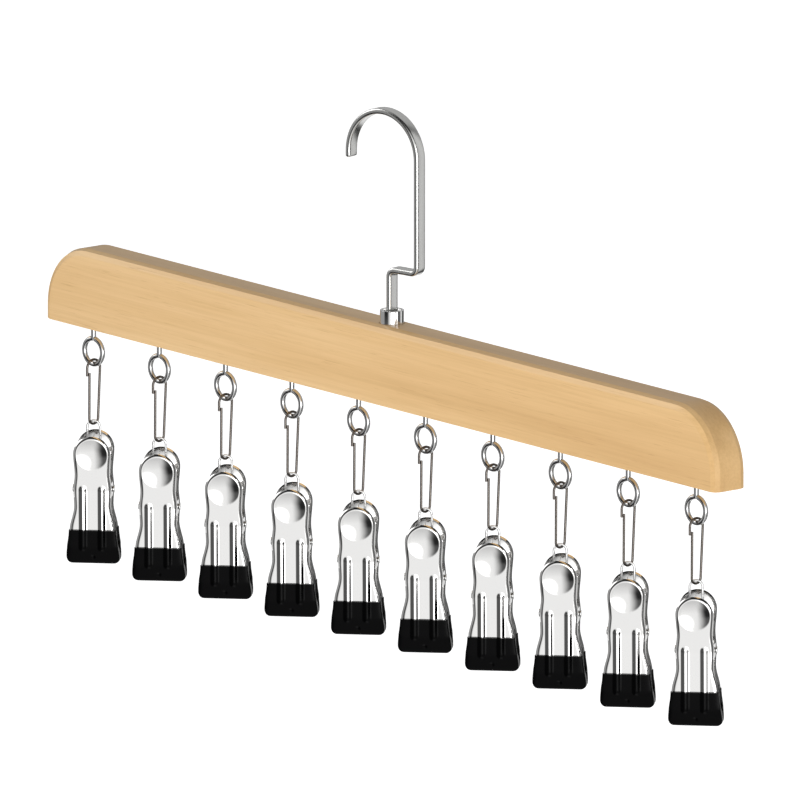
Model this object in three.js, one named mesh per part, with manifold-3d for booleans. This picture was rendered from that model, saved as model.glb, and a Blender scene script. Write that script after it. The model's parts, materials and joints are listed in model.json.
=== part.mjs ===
// A clip hanger: a wooden bar on a swivelling steel hook, with spring clips hung below it on wire links.
// Millimetres. X runs along the bar, Y runs from front to back and Z is up.
// The origin is the top of the hook's inside, where a rail carries the hanger.

import * as THREE from 'three';
import { mergeVertices } from 'three/addons/utils/BufferGeometryUtils.js';
import Module from 'manifold-3d';

const wasm = await Module();
wasm.setup();

// Gap left between pieces that touch, turn in or hang on each other
const FIT_GAP = 0.3;

// Clips along the bar
const CLIP_COUNT = 10;
const CLIP_PITCH = 45;
const CLIP_TURN = 45; // degrees from the bar's front, as the clips hang in the photograph

// Wooden bar
const BAR_END = 22.5; // from the last screw eye to the end of the bar
const BAR_THICKNESS = 17;
const BAR_HEIGHT = 34;
const BAR_CORNER_RADIUS = 27.5;
const BAR_EDGE_RADIUS = 3;

// Flat steel hook
const HOOK_TURN = 10; // degrees that the hook is swivelled from the bar, as in the photograph
const HOOK_WIDTH = 5.6;
const HOOK_THICKNESS = 2.5;
const HOOK_INNER_RADIUS = 17.75;
const HOOK_RISE = 71.1; // from the bar's top to the centre of the arch
const HOOK_TIP = 3; // straight end past the arch
const HOOK_JOG = 15.3; // sideways step between the swivel axis and the upper shank
const HOOK_JOG_HEIGHT = 23;
const HOOK_BEND_RADIUS = 3;

// Swivel: a ferrule pressed into the bar, and a collar held under its floor by the stem's riveted end
const FERRULE_RADIUS = 5.1;
const FERRULE_WALL = 1.2;
const FERRULE_RISE = 5.7;
const FERRULE_DEPTH = 11;
const FERRULE_FLOOR = 2.5;
const FERRULE_RIM = 0.5;
const STEM_RADIUS = 2;
const COLLAR_WALL = 1.6;
const COLLAR_HEIGHT = 2;
const RIVET_RADIUS = 2.9;
const RIVET_HEIGHT = 1.2;

// Screw eyes
const EYE_WIRE_RADIUS = 1.1;
const EYE_RING_RADIUS = 5.5;
const EYE_STANDOFF = 5.2; // from the bar's underside to the top of the ring
const EYE_THREAD = 14;
const EYE_POINT = 3;

// Wire links
const LINK_WIRE_RADIUS = 0.55;
const LINK_LENGTH = 27.7; // between the wire's centres at the top and the foot
const LINK_TOP_RADIUS = 3.45;
const LINK_FOOT_RADIUS = 2.35;
const LINK_LAP_START = 5.6; // the two wire ends lap between these depths below the top
const LINK_LAP_END = 6.8;

// Clip halves
const PLATE = 0.9;
const PLATE_OFFSET = 5.2; // from the pin's axis to the middle of the plate
const HANDLE_SPLAY = 7.8; // degrees
const JAW_LEAN = 2; // degrees
const PAD_RADIUS = 8;
const PAD_HEIGHT = 16; // from the pin's axis to the middle of the thumb pad
const NECK_HALF_WIDTH = 7.5;
const NECK_HEIGHT = 7.2;
const WAIST_HALF_WIDTH = 7.9;
const WAIST_DEPTH = 7;
const DISH_RADIUS = 6.75;
const DISH_DEPTH = 1.2;
const DISH_FLOOR_RADIUS = 3.6;
const RIB_OFFSET = 4.05; // from the clip's middle to the middle of each pressed rib
const RIB_HALF_WIDTH = 1.65;
const RIB_HEIGHT = 0.5;
const RIB_TOP = 2.3;
const EAR_RADIUS = 3;
const PIN_RADIUS = 1.1;
const PIN_HEAD_RADIUS = 1.7;
const PIN_HEAD = 0.6;

// Vinyl-dipped jaw tips
const TIP_TOP = 17.1; // from the pin's axis down to the upper edge of the dip
const TIP_HEIGHT = 14.9;
const TIP_TOP_HALF_WIDTH = 10.2;
const TIP_FOOT_HALF_WIDTH = 11.5;
const TIP_CORNER_RADIUS = 2.8;
const TIP_COAT = 0.8;
const TIP_EDGE_COAT = 0.3; // past the plate's side edges
const TIP_BEND = 6.9; // from the upper edge of the dip down to where the jaw turns in
const TIP_FACE = 4.4; // height of the gripping face
const TIP_FOOT_OUT = 3; // from the clip's middle to the outside of the jaw's foot

// Spring: one wire with a coil at each side and a loop between them that the clip hangs by
const SPRING_WIRE_RADIUS = 0.5;
const SPRING_LOOP_HALF_WIDTH = 2.7;
const SPRING_LOOP_RISE = 29.4; // from the pin's axis to the wire's centre at the top
const SPRING_LOOP_LEAN = 12; // height at which the loop's legs reach the clip's middle
const SPRING_TURNS = 1.5;
const SPRING_PITCH = 1.6;
const SPRING_ARM = 9.5; // height of the arms' ends

// Facets of rounded shapes
const ARCH_STEPS = 15; // odd, so that one flat facet lies on top of the rail
const HOOK_BEND_STEPS = 3;
const ROUND_SIDES = 16;
const SHANK_SIDES = 8;
const RING_STEPS = 12;
const WIRE_SIDES = 6;
const SPRING_SIDES = 5;
const SPRING_STEPS = 8; // steps in each turn
const LINK_BEND_STEPS = 6;
const LOOP_STEPS = 3;
const BAR_CORNER_STEPS = 10;
const BAR_EDGE_STEPS = 2;
const PAD_STEPS = 8;
const DISH_SIDES = 10;
const EAR_STEPS = 4;
const PIN_SIDES = 8;
const TIP_CORNER_STEPS = 3;
const TIP_FOOT_STEPS = 2;

const WELD = 1e-5; // points closer than this are one point
const CUT_MARGIN = 1; // how far a cutting shape runs past what it cuts
const GAP_SAMPLES = 400; // points along the spring's wire where its gap to itself is measured

// Places that follow from the sizes above
const degrees = Math.PI / 180;
const hookRadius = HOOK_INNER_RADIUS + HOOK_THICKNESS / 2;
const archZ = HOOK_THICKNESS / 2 - hookRadius * Math.cos(Math.PI / ARCH_STEPS / 2);
const barTop = archZ - HOOK_RISE;
const barBottom = barTop - BAR_HEIGHT;
const barLength = CLIP_PITCH * (CLIP_COUNT - 1) + 2 * BAR_END;
const swivelOut = hookRadius - HOOK_JOG; // from the middle of the arch to the swivel axis
const ferruleFoot = barTop - FERRULE_DEPTH;
const collarRadius = STEM_RADIUS + FIT_GAP + COLLAR_WALL;
const collarTop = ferruleFoot - FIT_GAP;
const rivetTop = collarTop - COLLAR_HEIGHT - FIT_GAP;
const ringZ = barBottom - EYE_STANDOFF - EYE_WIRE_RADIUS - EYE_RING_RADIUS;
const ringFootZ = ringZ - EYE_RING_RADIUS;
const linkTopZ = ringFootZ + EYE_WIRE_RADIUS + FIT_GAP + LINK_WIRE_RADIUS;
const linkFootZ = linkTopZ - LINK_LENGTH;
const loopTopZ = linkFootZ + LINK_WIRE_RADIUS + FIT_GAP + SPRING_WIRE_RADIUS;
const pinZ = loopTopZ - SPRING_LOOP_RISE;
const coilRadius = PIN_RADIUS + FIT_GAP + SPRING_WIRE_RADIUS;
const coilEnd = SPRING_LOOP_HALF_WIDTH + SPRING_TURNS * SPRING_PITCH;
const rearEarX = coilEnd + SPRING_WIRE_RADIUS + FIT_GAP;
const frontEarX = rearEarX + PLATE + FIT_GAP;
const pinHeadX = frontEarX + PLATE + FIT_GAP;

const wood = new THREE.MeshStandardMaterial({ color: 0xdcb886, roughness: 0.5, metalness: 0 });
const satinSteel = new THREE.MeshStandardMaterial({ color: 0xb4b4b2, roughness: 0.35, metalness: 1 });
const chrome = new THREE.MeshStandardMaterial({ color: 0xe2e4e6, roughness: 0.12, metalness: 1 });
const wireSteel = new THREE.MeshStandardMaterial({ color: 0xc2c4c6, roughness: 0.25, metalness: 1 });

// A path through chosen points, which a wire or a strip is extruded along
class PointPath extends THREE.Curve {
  constructor(points) {
    super();
    this.points = points;
  }

  getPointAt(share) {
    return this.points[Math.round(share * (this.points.length - 1))].clone();
  }

  getTangentAt(share) {
    const index = Math.round(share * (this.points.length - 1));
    const before = this.points[Math.max(index - 1, 0)];
    const here = this.points[index];
    const after = this.points[Math.min(index + 1, this.points.length - 1)];
    const coming = here.clone().sub(before).normalize();
    const going = after.clone().sub(here).normalize();
    return coming.add(going).normalize();
  }
}

function solidOf(geometry) {
  geometry.deleteAttribute('normal');
  geometry.deleteAttribute('uv');
  const merged = mergeVertices(geometry, WELD);
  const vertProperties = new Float32Array(merged.attributes.position.array);
  const triVerts = new Uint32Array(merged.index.array);
  return new wasm.Manifold(new wasm.Mesh({ numProp: 3, vertProperties, triVerts }));
}

function geometryOf(solid) {
  const { vertProperties, triVerts } = solid.getMesh();
  const geometry = new THREE.BufferGeometry();
  geometry.setAttribute('position', new THREE.BufferAttribute(new Float32Array(vertProperties), 3));
  geometry.setIndex(new THREE.BufferAttribute(new Uint32Array(triVerts), 1));
  return geometry;
}

function meshOf(name, solid, material) {
  const mesh = new THREE.Mesh(geometryOf(solid), material);
  mesh.name = name;
  return mesh;
}

// Points on an arc about (x, y), from one angle to another
function arc(x, y, radius, from, to, steps) {
  return Array.from({ length: steps + 1 }, (_, step) => {
    const angle = from + ((to - from) * step) / steps;
    return new THREE.Vector2(x + radius * Math.cos(angle), y + radius * Math.sin(angle));
  });
}

function circle(radius, sides) {
  return arc(0, 0, radius, 0, 2 * Math.PI * (1 - 1 / sides), sides - 1);
}

// A closed outline of (y, z) points, drawn out along X
function prismX(points, from, to) {
  const settings = { depth: to - from, bevelEnabled: false };
  const geometry = new THREE.ExtrudeGeometry(new THREE.Shape(points), settings);
  const axes = [new THREE.Vector3(0, 1, 0), new THREE.Vector3(0, 0, 1), new THREE.Vector3(1, 0, 0)];
  geometry.applyMatrix4(new THREE.Matrix4().makeBasis(...axes).setPosition(from, 0, 0));
  return solidOf(geometry);
}

// A closed outline of (x, z) points, drawn out along Y
function prismY(points, from, to) {
  const settings = { depth: to - from, bevelEnabled: false };
  const geometry = new THREE.ExtrudeGeometry(new THREE.Shape(points), settings);
  const axes = [new THREE.Vector3(1, 0, 0), new THREE.Vector3(0, 0, 1), new THREE.Vector3(0, -1, 0)];
  geometry.applyMatrix4(new THREE.Matrix4().makeBasis(...axes).setPosition(0, to, 0));
  return solidOf(geometry);
}

// A closed profile of (radius, height) points, turned about Z
function turned(profile, sides) {
  const points = profile.map(([radius, height]) => new THREE.Vector2(radius, height));
  const geometry = new THREE.LatheGeometry(points, sides);
  geometry.rotateX(Math.PI / 2);
  return solidOf(geometry);
}

function rod(radius, bottom, top, sides) {
  return turned([[0, bottom], [radius, bottom], [radius, top], [0, top]], sides);
}

// An outline swept along a list of points
function swept(outline, points) {
  const path = new PointPath(points);
  const settings = { steps: points.length - 1, extrudePath: path, bevelEnabled: false };
  return solidOf(new THREE.ExtrudeGeometry(new THREE.Shape(outline), settings));
}

function makeHook() {
  const jogZ = barTop + HOOK_JOG_HEIGHT;
  const footZ = ferruleFoot + FERRULE_FLOOR + FIT_GAP;
  const bend = HOOK_BEND_RADIUS;
  const quarter = Math.PI / 2;
  const line = [
    new THREE.Vector2(swivelOut, footZ),
    ...arc(swivelOut + bend, jogZ - bend, bend, Math.PI, quarter, HOOK_BEND_STEPS),
    ...arc(hookRadius - bend, jogZ + bend, bend, -quarter, 0, HOOK_BEND_STEPS),
    ...arc(0, archZ, hookRadius, 0, Math.PI, ARCH_STEPS),
    new THREE.Vector2(-hookRadius, archZ - HOOK_TIP),
  ];
  const path = line.map((point) => new THREE.Vector3(point.x, 0, point.y));
  const halfWidth = HOOK_WIDTH / 2;
  const halfThickness = HOOK_THICKNESS / 2;
  const outline = [
    new THREE.Vector2(-halfWidth, -halfThickness),
    new THREE.Vector2(halfWidth, -halfThickness),
    new THREE.Vector2(halfWidth, halfThickness),
    new THREE.Vector2(-halfWidth, halfThickness),
  ];
  const rivetFoot = rivetTop - RIVET_HEIGHT;
  const stem = turned(
    [
      [0, rivetFoot],
      [RIVET_RADIUS, rivetFoot],
      [RIVET_RADIUS, rivetTop],
      [STEM_RADIUS, rivetTop],
      [STEM_RADIUS, footZ + HOOK_THICKNESS],
      [0, footZ + HOOK_THICKNESS],
    ],
    ROUND_SIDES,
  ).translate([swivelOut, 0, 0]);
  return swept(outline, path).add(stem).rotate([0, 0, HOOK_TURN]);
}

function makeCollar() {
  const bore = STEM_RADIUS + FIT_GAP;
  const foot = collarTop - COLLAR_HEIGHT;
  const profile = [
    [bore, foot],
    [collarRadius, foot],
    [collarRadius, collarTop],
    [bore, collarTop],
    [bore, foot],
  ];
  return turned(profile, ROUND_SIDES);
}

function makeFerrule() {
  const bore = FERRULE_RADIUS - FERRULE_WALL;
  const stemHole = STEM_RADIUS + FIT_GAP;
  const floorTop = ferruleFoot + FERRULE_FLOOR;
  const rimTop = barTop + FERRULE_RISE;
  return turned(
    [
      [stemHole, ferruleFoot],
      [FERRULE_RADIUS, ferruleFoot],
      [FERRULE_RADIUS, rimTop - FERRULE_RIM],
      [FERRULE_RADIUS - FERRULE_RIM, rimTop],
      [bore, rimTop],
      [bore, floorTop],
      [stemHole, floorTop],
      [stemHole, ferruleFoot],
    ],
    ROUND_SIDES,
  );
}

// The bar's outline, drawn past the underside so that trimming it leaves the lower edges sharp
function barOutline() {
  const half = barLength / 2;
  const foot = barBottom - BAR_EDGE_RADIUS;
  const cornerX = half - BAR_CORNER_RADIUS;
  const cornerZ = barTop - BAR_CORNER_RADIUS;
  return [
    new THREE.Vector2(-half, foot),
    new THREE.Vector2(half, foot),
    ...arc(cornerX, cornerZ, BAR_CORNER_RADIUS, 0, Math.PI / 2, BAR_CORNER_STEPS),
    ...arc(-cornerX, cornerZ, BAR_CORNER_RADIUS, Math.PI / 2, Math.PI, BAR_CORNER_STEPS),
  ];
}

function makeBar() {
  const edge = BAR_EDGE_RADIUS;
  const geometry = new THREE.ExtrudeGeometry(new THREE.Shape(barOutline()), {
    depth: BAR_THICKNESS - 2 * edge,
    bevelThickness: edge,
    bevelSize: edge,
    bevelOffset: -edge,
    bevelSegments: BAR_EDGE_STEPS,
  });
  geometry.translate(0, 0, edge - BAR_THICKNESS / 2);
  geometry.rotateX(Math.PI / 2);
  const below = new THREE.BoxGeometry(barLength + edge, BAR_THICKNESS + edge, 2 * edge);
  below.translate(0, 0, barBottom - edge);
  const seatFoot = ferruleFoot - FIT_GAP;
  const chamberFoot = rivetTop - RIVET_HEIGHT - FIT_GAP;
  const chamberRadius = Math.max(collarRadius, RIVET_RADIUS) + FIT_GAP;
  const pilotTop = barBottom + EYE_THREAD + FIT_GAP;
  const pilot = rod(EYE_WIRE_RADIUS + FIT_GAP, barBottom - edge, pilotTop, SHANK_SIDES);
  let bar = solidOf(geometry).subtract(solidOf(below));
  bar = bar.subtract(rod(FERRULE_RADIUS + FIT_GAP, seatFoot, barTop + edge, ROUND_SIDES));
  bar = bar.subtract(rod(chamberRadius, chamberFoot, barTop, ROUND_SIDES));
  for (const x of eyePlaces()) {
    bar = bar.subtract(pilot.translate([x, 0, 0]));
  }
  return bar;
}

function eyePlaces() {
  return Array.from({ length: CLIP_COUNT }, (_, index) => (index - (CLIP_COUNT - 1) / 2) * CLIP_PITCH);
}

function makeScrewEye() {
  const ring = new THREE.TorusGeometry(EYE_RING_RADIUS, EYE_WIRE_RADIUS, WIRE_SIDES, RING_STEPS);
  ring.rotateX(Math.PI / 2);
  ring.translate(0, 0, ringZ);
  const shankFoot = ringZ + EYE_RING_RADIUS;
  const threadTop = barBottom + EYE_THREAD;
  const profile = [
    [0, shankFoot],
    [EYE_WIRE_RADIUS, shankFoot],
    [EYE_WIRE_RADIUS, threadTop - EYE_POINT],
    [0, threadTop],
  ];
  return solidOf(ring).add(turned(profile, SHANK_SIDES));
}

// The link hangs edge on to the bar's front. Its wire ends lap beside each other on the front leg.
function makeLink() {
  const lap = 2 * LINK_WIRE_RADIUS + FIT_GAP;
  const topCentre = linkTopZ - LINK_TOP_RADIUS;
  const footCentre = linkFootZ + LINK_FOOT_RADIUS;
  const line = [
    new THREE.Vector2(lap - LINK_TOP_RADIUS, linkTopZ - LINK_LAP_START),
    ...arc(0, footCentre, LINK_FOOT_RADIUS, -Math.PI, 0, LINK_BEND_STEPS),
    ...arc(0, topCentre, LINK_TOP_RADIUS, 0, Math.PI, LINK_BEND_STEPS),
    new THREE.Vector2(-LINK_TOP_RADIUS, linkTopZ - LINK_LAP_END),
  ];
  const path = line.map((point) => new THREE.Vector3(0, point.x, point.y));
  return swept(circle(LINK_WIRE_RADIUS, WIRE_SIDES), path);
}

// Distance of the plate's middle in front of the pin's axis, at a height above the pin
function plateOut(height) {
  const slope = Math.tan((height > 0 ? HANDLE_SPLAY : JAW_LEAN) * degrees);
  return PLATE_OFFSET + height * slope;
}

// Half of the spring's wire, from the end of the front arm to the top of the loop
function springHalf() {
  const armOut = plateOut(SPRING_ARM) - PLATE / 2 - FIT_GAP - SPRING_WIRE_RADIUS;
  const steps = SPRING_TURNS * SPRING_STEPS;
  const coil = Array.from({ length: steps + 1 }, (_, step) => {
    const angle = Math.PI + (2 * Math.PI * step) / SPRING_STEPS;
    const x = -coilEnd + (SPRING_PITCH * step) / SPRING_STEPS;
    return new THREE.Vector3(x, coilRadius * Math.cos(angle), coilRadius * Math.sin(angle));
  });
  const archFoot = SPRING_LOOP_RISE - SPRING_LOOP_HALF_WIDTH;
  const arch = arc(0, archFoot, SPRING_LOOP_HALF_WIDTH, Math.PI, Math.PI / 2, LOOP_STEPS);
  return [
    new THREE.Vector3(-coilEnd, -armOut, SPRING_ARM),
    ...coil,
    new THREE.Vector3(-SPRING_LOOP_HALF_WIDTH, 0, SPRING_LOOP_LEAN),
    ...arch.map((point) => new THREE.Vector3(point.x, 0, point.y)),
  ];
}

function springPath() {
  const half = springHalf();
  const other = half.slice(0, -1).reverse();
  return [...half, ...other.map((point) => new THREE.Vector3(-point.x, -point.y, point.z))];
}

// Least gap between stretches of the wire that lie half a turn or more apart along it
function leastSelfGap(points, radius) {
  const spaced = new THREE.CurvePath();
  for (let index = 1; index < points.length; index += 1) {
    spaced.add(new THREE.LineCurve3(points[index - 1], points[index]));
  }
  const places = spaced.getSpacedPoints(GAP_SAMPLES);
  const apart = Math.ceil((Math.PI * coilRadius * GAP_SAMPLES) / spaced.getLength());
  let least = Infinity;
  for (let first = 0; first < places.length; first += 1) {
    for (let second = first + apart; second < places.length; second += 1) {
      least = Math.min(least, places[first].distanceTo(places[second]));
    }
  }
  return least - 2 * radius;
}

function makeSpring() {
  return swept(circle(SPRING_WIRE_RADIUS, SPRING_SIDES), springPath());
}

// The front half's outline, seen from the front
function plateOutline() {
  const tuck = TIP_TOP + TIP_BEND;
  const right = [
    new THREE.Vector2(TIP_TOP_HALF_WIDTH - TIP_EDGE_COAT, -tuck),
    new THREE.Vector2(TIP_TOP_HALF_WIDTH - TIP_EDGE_COAT, -TIP_TOP),
    new THREE.Vector2(WAIST_HALF_WIDTH, -WAIST_DEPTH),
    new THREE.Vector2(frontEarX + PLATE, -EAR_RADIUS),
    new THREE.Vector2(frontEarX + PLATE, EAR_RADIUS),
    new THREE.Vector2(NECK_HALF_WIDTH, NECK_HEIGHT),
  ];
  const left = right.map((point) => new THREE.Vector2(-point.x, point.y)).reverse();
  return [...right, ...arc(0, PAD_HEIGHT, PAD_RADIUS, 0, Math.PI, PAD_STEPS), ...left];
}

// The bent plate seen from its side, with its outside towards the front
function plateSection() {
  const top = PAD_HEIGHT + PAD_RADIUS;
  const foot = -TIP_TOP - TIP_BEND;
  const outside = [foot, 0, top].map((z) => new THREE.Vector2(-plateOut(z) - PLATE / 2, z));
  const inside = [top, 0, foot].map((z) => new THREE.Vector2(-plateOut(z) + PLATE / 2, z));
  return [...inside, ...outside];
}

// A shallow bowl's solid on the thumb pad, set in from the plate's outside, with a rim that stands above it
function dish(setIn, rim) {
  const profile = [
    [0, -rim],
    [DISH_RADIUS, -rim],
    [DISH_RADIUS, 0],
    [DISH_FLOOR_RADIUS, DISH_DEPTH],
    [0, DISH_DEPTH],
  ];
  const tilt = 90 - HANDLE_SPLAY;
  const out = plateOut(PAD_HEIGHT) + PLATE / 2 - setIn;
  return turned(profile, DISH_SIDES).rotate([-tilt, 0, 0]).translate([0, -out, PAD_HEIGHT]);
}

// A pressed rib's solid, on the outside of the jaw plate
function rib(x) {
  const crest = RIB_HALF_WIDTH - RIB_HEIGHT;
  const outline = [
    new THREE.Vector2(x - RIB_HALF_WIDTH, 0),
    new THREE.Vector2(x - crest, -RIB_HEIGHT),
    new THREE.Vector2(x + crest, -RIB_HEIGHT),
    new THREE.Vector2(x + RIB_HALF_WIDTH, 0),
    new THREE.Vector2(x + RIB_HALF_WIDTH, PLATE / 2),
    new THREE.Vector2(x - RIB_HALF_WIDTH, PLATE / 2),
  ];
  const length = TIP_TOP + RIB_HEIGHT;
  const settings = { depth: length + RIB_TOP, bevelEnabled: false };
  const geometry = new THREE.ExtrudeGeometry(new THREE.Shape(outline), settings);
  geometry.translate(0, -PLATE / 2, -length);
  geometry.rotateX(JAW_LEAN * degrees);
  geometry.translate(0, -PLATE_OFFSET, 0);
  return solidOf(geometry);
}

// An ear reaching back from the plate round the pin
function ear(from, side) {
  const back = -PLATE_OFFSET;
  const outline = [
    new THREE.Vector2(back, -EAR_RADIUS),
    ...arc(0, 0, EAR_RADIUS, -Math.PI / 2, Math.PI / 2, EAR_STEPS),
    new THREE.Vector2(back, EAR_RADIUS),
  ];
  const low = side > 0 ? from : -from - PLATE;
  return prismX(outline, low, low + PLATE);
}

function pinRod(radius, reach) {
  return prismX(circle(radius, PIN_SIDES), -reach, reach);
}

// The dipped tip: its section seen from the side, cut to its outline seen from the front
function jawTip() {
  const foot = -TIP_TOP - TIP_HEIGHT;
  const bend = -TIP_TOP - TIP_BEND;
  const cover = PLATE / 2 + TIP_COAT;
  const face = -FIT_GAP / 2;
  const footOut = -TIP_FOOT_OUT;
  const rounding = TIP_COAT + PLATE / 2;
  const section = [
    new THREE.Vector2(-plateOut(-TIP_TOP) + cover, -TIP_TOP),
    new THREE.Vector2(-plateOut(-TIP_TOP) - cover, -TIP_TOP),
    new THREE.Vector2(-plateOut(bend) - cover, bend),
    ...arc(footOut + rounding, foot + rounding, rounding, Math.PI, 1.5 * Math.PI, TIP_FOOT_STEPS),
    new THREE.Vector2(face - rounding, foot),
    new THREE.Vector2(face, foot + rounding),
    new THREE.Vector2(face, foot + rounding + TIP_FACE),
    new THREE.Vector2(-plateOut(bend) + cover, bend),
  ];
  const round = TIP_CORNER_RADIUS;
  const cornerX = TIP_FOOT_HALF_WIDTH - round;
  const outline = [
    new THREE.Vector2(TIP_TOP_HALF_WIDTH, -TIP_TOP),
    new THREE.Vector2(-TIP_TOP_HALF_WIDTH, -TIP_TOP),
    ...arc(-cornerX, foot + round, round, Math.PI, 1.5 * Math.PI, TIP_CORNER_STEPS),
    ...arc(cornerX, foot + round, round, -Math.PI / 2, 0, TIP_CORNER_STEPS),
  ];
  const reach = TIP_FOOT_HALF_WIDTH + CUT_MARGIN;
  const depth = PLATE_OFFSET + cover + CUT_MARGIN;
  return prismX(section, -reach, reach).intersect(prismY(outline, -depth, 0));
}

// One half of a clip with its inside towards the pin: the plate, its ears and its dipped tip
function clipHalf(earX) {
  const depth = plateOut(PAD_HEIGHT + PAD_RADIUS) + PLATE;
  const width = Math.max(PAD_RADIUS, frontEarX + PLATE, TIP_TOP_HALF_WIDTH) + CUT_MARGIN;
  let half = prismX(plateSection(), -width, width).intersect(prismY(plateOutline(), -depth, 0));
  half = half.add(dish(PLATE, PLATE / 2)).subtract(dish(0, PLATE));
  for (const x of [-RIB_OFFSET, RIB_OFFSET]) {
    half = half.add(rib(x));
  }
  return half.add(ear(earX, -1)).add(ear(earX, 1)).add(jawTip());
}

// The front half turns on the pin
function makeFrontHalf() {
  const hole = (PIN_RADIUS + FIT_GAP) / Math.cos(Math.PI / PIN_SIDES);
  return clipHalf(frontEarX).subtract(pinRod(hole, frontEarX + PLATE + CUT_MARGIN));
}

// The rear half is the front one turned round, with narrower ears that the pin is riveted into
function makeRearHalf() {
  const pin = pinRod(PIN_RADIUS, pinHeadX + PIN_HEAD);
  const between = pinRod(PIN_HEAD_RADIUS + CUT_MARGIN, pinHeadX);
  const heads = pinRod(PIN_HEAD_RADIUS, pinHeadX + PIN_HEAD).subtract(between);
  return clipHalf(rearEarX).rotate([0, 0, 180]).add(pin.add(heads));
}

const hanger = new THREE.Group();
hanger.name = 'clip_hanger';
hanger.add(meshOf('hook', makeHook(), satinSteel));

const barGroup = new THREE.Group();
barGroup.position.x = swivelOut * Math.cos(HOOK_TURN * degrees);
barGroup.position.y = swivelOut * Math.sin(HOOK_TURN * degrees);
barGroup.add(meshOf('bar', makeBar(), wood));
barGroup.add(meshOf('ferrule', makeFerrule(), chrome));
barGroup.add(meshOf('swivel_collar', makeCollar(), wireSteel));
hanger.add(barGroup);

const screwEye = makeScrewEye();
const link = makeLink();
const spring = makeSpring();
const frontHalf = makeFrontHalf();
const rearHalf = makeRearHalf();
const springGap = leastSelfGap(springPath(), SPRING_WIRE_RADIUS);
console.log(`spring wire's least gap to itself: ${springGap.toFixed(2)} mm`);

eyePlaces().forEach((x, index) => {
  const number = String(index + 1).padStart(2, '0');
  const hanging = new THREE.Group();
  hanging.position.x = x;
  hanging.add(meshOf(`screw_eye_${number}`, screwEye, wireSteel));
  hanging.add(meshOf(`link_${number}`, link, wireSteel));
  const clip = new THREE.Group();
  clip.position.z = pinZ;
  clip.rotation.z = CLIP_TURN * degrees;
  clip.add(meshOf(`clip_spring_${number}`, spring, wireSteel));
  clip.add(meshOf(`clip_front_${number}`, frontHalf, chrome));
  clip.add(meshOf(`clip_rear_${number}`, rearHalf, chrome));
  hanging.add(clip);
  barGroup.add(hanging);
});

export default hanger;
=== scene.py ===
"""Looks of a clip hanger: a wooden bar on a flat steel hook, with sprung chrome clips on wire links.

Pieces are shaped in millimetres, those that repeat about a point of their own, and then set on the frame.
"""

import json
import math

import bmesh
import bpy
from mathutils import Matrix, Vector


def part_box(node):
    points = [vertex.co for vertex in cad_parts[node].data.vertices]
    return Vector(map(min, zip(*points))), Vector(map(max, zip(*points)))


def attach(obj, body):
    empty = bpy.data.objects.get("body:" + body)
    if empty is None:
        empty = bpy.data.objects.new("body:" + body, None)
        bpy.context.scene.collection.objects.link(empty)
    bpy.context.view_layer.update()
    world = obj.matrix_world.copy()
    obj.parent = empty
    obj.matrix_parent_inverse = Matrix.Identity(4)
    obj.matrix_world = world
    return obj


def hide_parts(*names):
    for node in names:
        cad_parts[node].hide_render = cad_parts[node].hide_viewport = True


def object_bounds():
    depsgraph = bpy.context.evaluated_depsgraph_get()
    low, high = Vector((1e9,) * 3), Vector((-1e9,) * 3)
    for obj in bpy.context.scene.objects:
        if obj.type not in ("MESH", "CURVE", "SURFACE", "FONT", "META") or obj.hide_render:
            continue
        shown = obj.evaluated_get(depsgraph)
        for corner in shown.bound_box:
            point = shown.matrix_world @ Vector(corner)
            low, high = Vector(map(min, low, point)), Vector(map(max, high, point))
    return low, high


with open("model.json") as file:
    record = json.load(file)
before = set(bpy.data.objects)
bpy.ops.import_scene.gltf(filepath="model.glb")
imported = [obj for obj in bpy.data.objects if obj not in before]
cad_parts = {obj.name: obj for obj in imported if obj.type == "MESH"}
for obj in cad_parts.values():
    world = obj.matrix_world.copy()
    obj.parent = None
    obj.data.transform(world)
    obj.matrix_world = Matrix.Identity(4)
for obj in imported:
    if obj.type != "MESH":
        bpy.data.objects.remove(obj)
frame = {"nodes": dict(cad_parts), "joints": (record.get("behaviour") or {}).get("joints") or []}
cad_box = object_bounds()

MM = 0.001
NEAR = 0.1  # points closer than this to a face lie on it
SHARP_EDGE = 50  # degrees, past which an edge is rounded
UP = (0, 0, 1)
RIGHT = (1, 0, 0)
LEFT = (-1, 0, 0)
WHITE = (1, 1, 1)

# Each CREASE is an angle in degrees: edges sharper than that stay crisp, and the rest are shaded smooth

# Bar
BAR_CORNER_RADIUS = 27.5
BAR_CORNER_STEPS = 28
BAR_EDGE_RADIUS = 3
BAR_EDGE_FACETS = 2
BAR_FOOT_EDGE = 0.35
BAR_FOOT_STEPS = 2
BAR_CREASE = 20
SEAT_RADIUS = 5.4
SEAT_DEPTH = 11.3
SEAT_SIDES = 64
PILOT_RADIUS = 1.4
PILOT_DEPTH = 14.3
PILOT_SIDES = 24
CUT_MARGIN = 2  # how far a cutting piece runs past what it cuts

# Hook, from the swivel's foot to its tip
HOOK_TURN = 10  # degrees that the hook is swivelled from the bar
HOOK_WIDTH = 5.6
HOOK_THICKNESS = 2.5
HOOK_RADIUS = 19
HOOK_ARCH_STEPS = 48
HOOK_JOG = 15.3
HOOK_JOG_HEIGHT = 23
HOOK_BEND_RADIUS = 3
HOOK_BEND_STEPS = 8
HOOK_TIP = 3
HOOK_EDGE = 1
HOOK_EDGE_STEPS = 6
HOOK_FOOT = 8.2
HOOK_CREASE = 25
STEM_RADIUS = 2
STEM_LENGTH = 6.5
STEM_OVERLAP = 1  # how far the stem reaches up into the strip
STEM_SIDES = 32
RIVET_RADIUS = 2.9
RIVET_HEIGHT = 1.2
RIVET_EDGE = 0.2
RIVET_EDGE_STEPS = 2

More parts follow.
